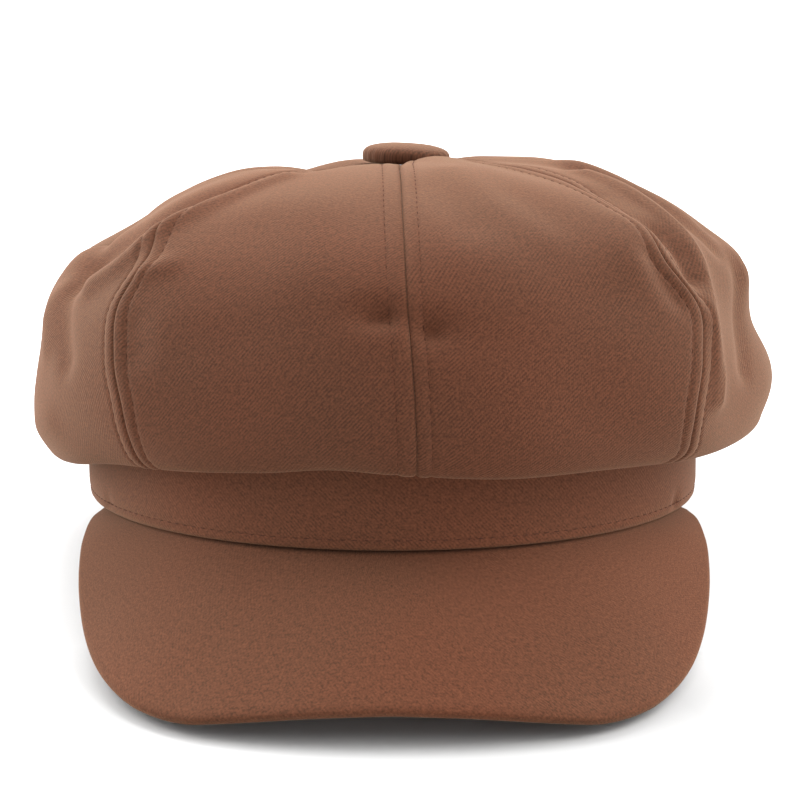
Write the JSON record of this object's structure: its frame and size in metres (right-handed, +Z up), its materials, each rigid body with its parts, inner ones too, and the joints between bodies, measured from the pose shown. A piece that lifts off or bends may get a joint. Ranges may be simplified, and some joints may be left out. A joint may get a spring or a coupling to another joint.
{
  "type": "newsboy cap",
  "caption": "Baker-boy cap with a full puffed panelled crown over a sewn head band, a curved covered visor that flexes on its seam, a covered top button and a lining.",
  "frame": {"origin": "on the surface that the cap rests on, under the middle of its bounding box", "axes": "+Z up, the visor points to -Y, +X is to the right of somebody who looks at the front; the rim leans back 10.1 degrees"},
  "size_m": [0.2216, 0.2702, 0.1255],
  "materials": {
    "crown_cloth": "brushed brown wool-blend twill",
    "band_cloth": "brushed brown wool-blend twill",
    "visor_cloth": "brushed brown wool-blend twill, felted nap",
    "lining": "dark brown satin lining",
    "sweatband": "dark brown ribbed cotton",
    "interfacing": "off-white woven stiffener",
    "board": "off-white sheet plastic",
    "metal": "plain nickel-plated steel"
  },
  "bodies": {
    "cap": {"front_right_panel": "crown_cloth", "right_front_panel": "crown_cloth", "right_back_panel": "crown_cloth", "back_right_panel": "crown_cloth", "back_left_panel": "crown_cloth", "left_back_panel": "crown_cloth", "left_front_panel": "crown_cloth", "front_left_panel": "crown_cloth", "front_right_lining": "lining", "right_front_lining": "lining", "right_back_lining": "lining", "back_right_lining": "lining", "back_left_lining": "lining", "left_back_lining": "lining", "left_front_lining": "lining", "front_left_lining": "lining", "head_band": "band_cloth", "band_interfacing": "interfacing", "sweatband": "sweatband", "button_cover": "crown_cloth", "button_shell": "metal", "button_rivet": "metal", "button_washer": "metal"},
    "visor": {"visor_upper_cover": "visor_cloth", "visor_board": "board", "visor_under_cover": "visor_cloth"}
  },
  "joints": [
    {"name": "visor_flex", "type": "hinge", "parent": "cap", "child": "visor", "pos_m": [-0.00402, -0.09171, 0.03734], "axis": [-1, 0, 0], "range_deg": [-6, 25], "stiffness_Nm_per_rad": 0.6}
  ]
}
